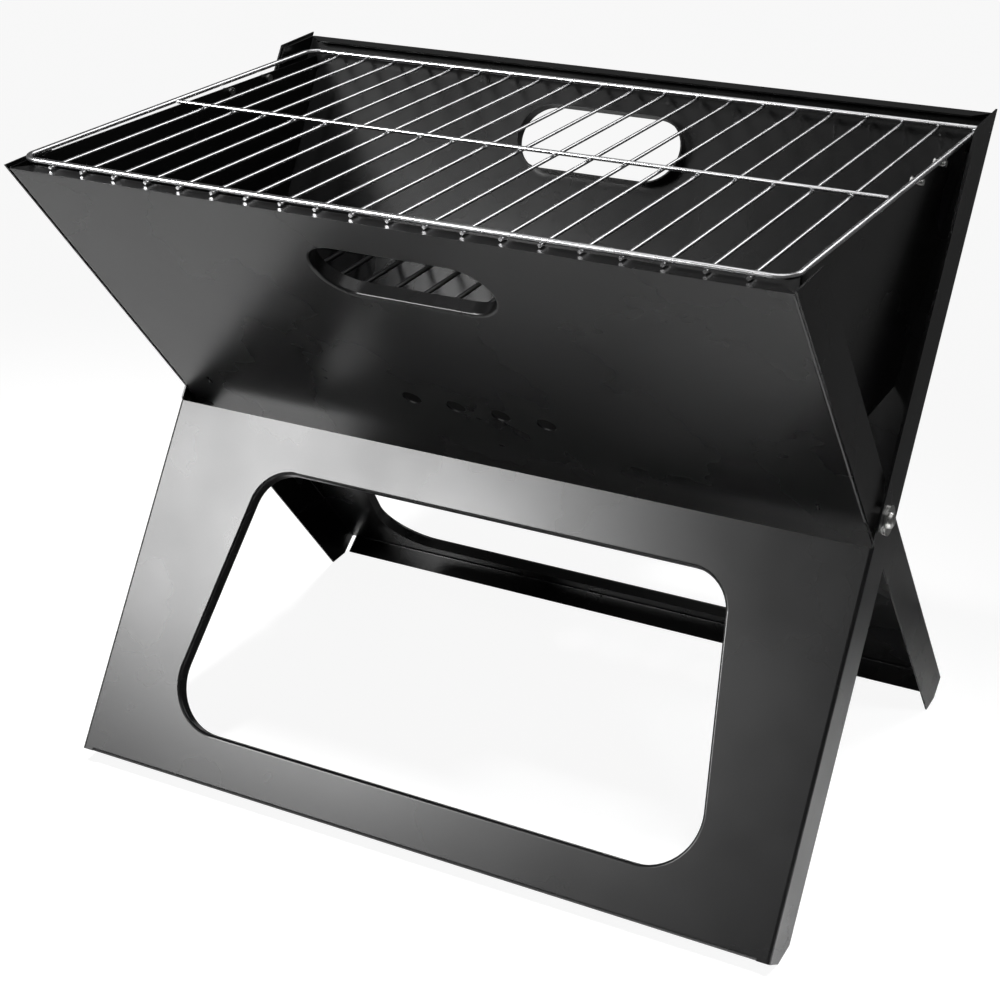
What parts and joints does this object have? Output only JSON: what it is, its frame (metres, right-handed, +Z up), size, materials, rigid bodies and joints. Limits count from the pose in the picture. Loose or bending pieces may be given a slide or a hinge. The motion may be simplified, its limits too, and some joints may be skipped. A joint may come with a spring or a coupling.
{
  "type": "folding camp grill",
  "caption": "Folding charcoal camp grill: crossed sheet-steel frames open to a V trough with end plates, rack, ash tray and wire cooking grate.",
  "frame": {"origin": "on the floor, midway between the four feet", "axes": "+X to the right along the grill, +Y to the rear, +Z up"},
  "size_m": [0.4576, 0.3088, 0.3841],
  "materials": {
    "black_enamel": "semi-gloss black enamel on sheet steel",
    "chromed_wire": "bright plated wire",
    "rack_wire": "dull plated wire",
    "galvanised_sheet": "satin zinc-coated sheet",
    "zinc_plated_steel": "satin zinc plating"
  },
  "bodies": {
    "outer_frame": {"front_leg_panel": "black_enamel", "rear_wall_panel": "black_enamel", "pivot_rivet_left": "zinc_plated_steel", "pivot_rivet_right": "zinc_plated_steel", "outer_pivot_washer_left": "zinc_plated_steel", "outer_pivot_washer_right": "zinc_plated_steel", "spacer_washer_left": "zinc_plated_steel", "spacer_washer_right": "zinc_plated_steel", "inner_pivot_washer_left": "zinc_plated_steel", "inner_pivot_washer_right": "zinc_plated_steel"},
    "inner_frame": {"rear_leg_panel": "black_enamel", "front_wall_panel": "black_enamel"},
    "left_plate": {"end_plate_left": "black_enamel", "end_plate_pins_left": "zinc_plated_steel"},
    "right_plate": {"end_plate_right": "black_enamel", "end_plate_pins_right": "zinc_plated_steel"},
    "grate": {"grate_rim_wire": "chromed_wire", "grate_side_wire": "chromed_wire", "grate_middle_wire": "chromed_wire", "grate_bars": "chromed_wire"},
    "rack": {"rack_rim": "rack_wire", "rack_rods": "rack_wire"},
    "tray": {"ash_tray": "galvanised_sheet"}
  },
  "joints": [
    {"name": "fold", "type": "hinge", "parent": "outer_frame", "child": "inner_frame", "pos_m": [0, 0, 0.19649], "axis": [-1, 0, 0], "range_deg": [0, 72]},
    {"name": "lift_left_plate", "type": "slide", "parent": "outer_frame", "child": "left_plate", "axis": [0, 0, 1], "range_m": [0, 0.76]},
    {"name": "lift_right_plate", "type": "slide", "parent": "outer_frame", "child": "right_plate", "axis": [0, 0, 1], "range_m": [0, 0.76]},
    {"name": "lift_grate", "type": "slide", "parent": "outer_frame", "child": "grate", "axis": [0, 0, 1], "range_m": [0, 0.76]},
    {"name": "lift_rack", "type": "slide", "parent": "outer_frame", "child": "rack", "axis": [0, 0, 1], "range_m": [0, 0.76]},
    {"name": "lift_tray", "type": "slide", "parent": "outer_frame", "child": "tray", "axis": [0, 0, 1], "range_m": [0, 0.76]}
  ],
  "couplings": [
    {"joint": "lift_left_plate", "follows": "fold", "m_per_rad": 0.6},
    {"joint": "lift_right_plate", "follows": "fold", "m_per_rad": 0.6},
    {"joint": "lift_grate", "follows": "fold", "m_per_rad": 0.6},
    {"joint": "lift_rack", "follows": "fold", "m_per_rad": 0.6},
    {"joint": "lift_tray", "follows": "fold", "m_per_rad": 0.6}
  ]
}
